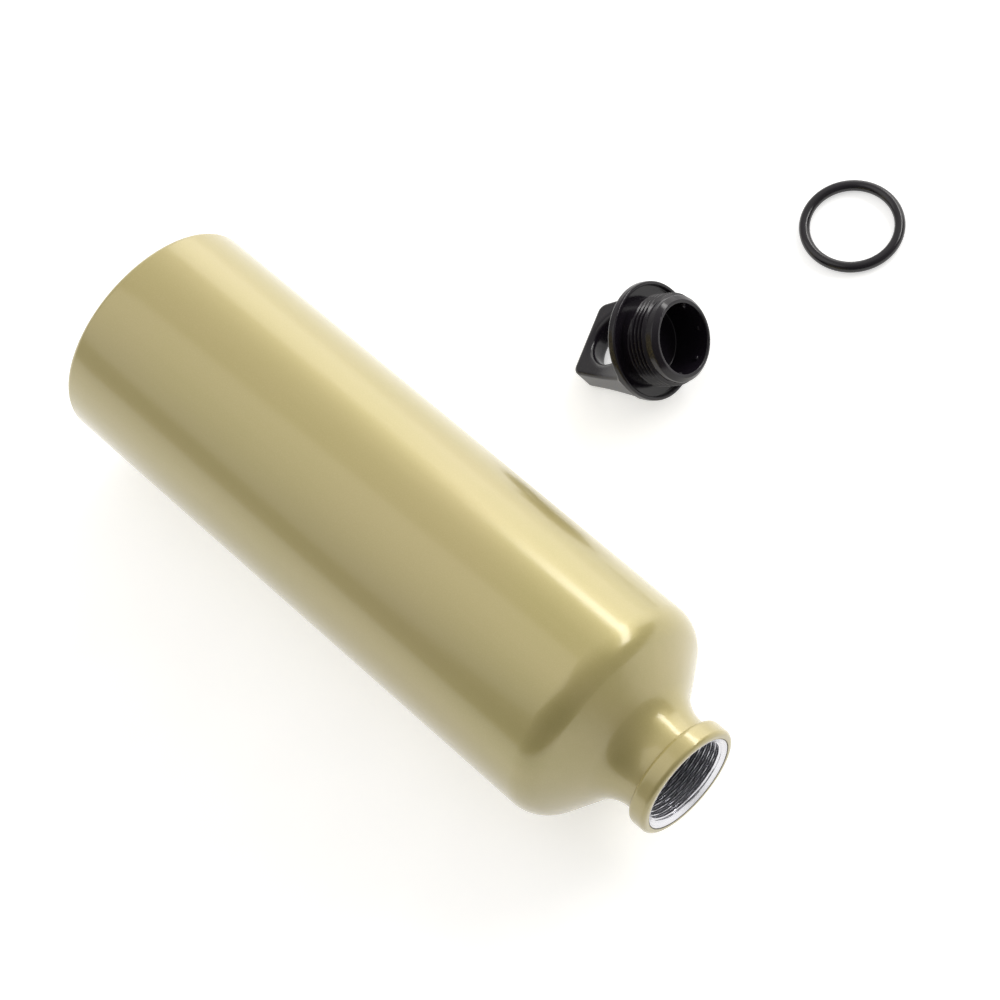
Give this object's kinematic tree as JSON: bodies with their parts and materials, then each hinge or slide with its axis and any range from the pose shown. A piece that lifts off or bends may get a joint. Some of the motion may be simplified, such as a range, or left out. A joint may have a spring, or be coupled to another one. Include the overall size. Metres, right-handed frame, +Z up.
{
  "type": "camping fuel bottle",
  "caption": "Round aluminium fuel bottle lying on its side, with its threaded screw cap with a carrying loop and its rubber sealing ring off beside it.",
  "frame": {"origin": "on the surface, under the middle of the box round the whole set: the bottle lying on its side and the cap and the sealing ring beside it", "axes": "+X along the bottle's axis, out of its mouth; +Z up from the surface; +Y from the bottle towards the cap and the sealing ring"},
  "size_m": [0.227, 0.2327, 0.073],
  "materials": {
    "bottle": "painted champagne gold outside, bare at the lip and inside",
    "cap": "glossy black",
    "seal_ring": "smooth black"
  },
  "bodies": {
    "bottle": {"bottle": "bottle"},
    "cap": {"cap": "cap"},
    "seal_ring": {"seal_ring": "seal_ring"}
  },
  "joints": [
    {"name": "cap_lift", "type": "slide", "parent": "bottle", "child": "cap", "axis": [0, 0, 1], "range_m": [0, 0.15]},
    {"name": "seal_ring_lift", "type": "slide", "parent": "bottle", "child": "seal_ring", "axis": [0, 0, 1], "range_m": [0, 0.15]}
  ]
}
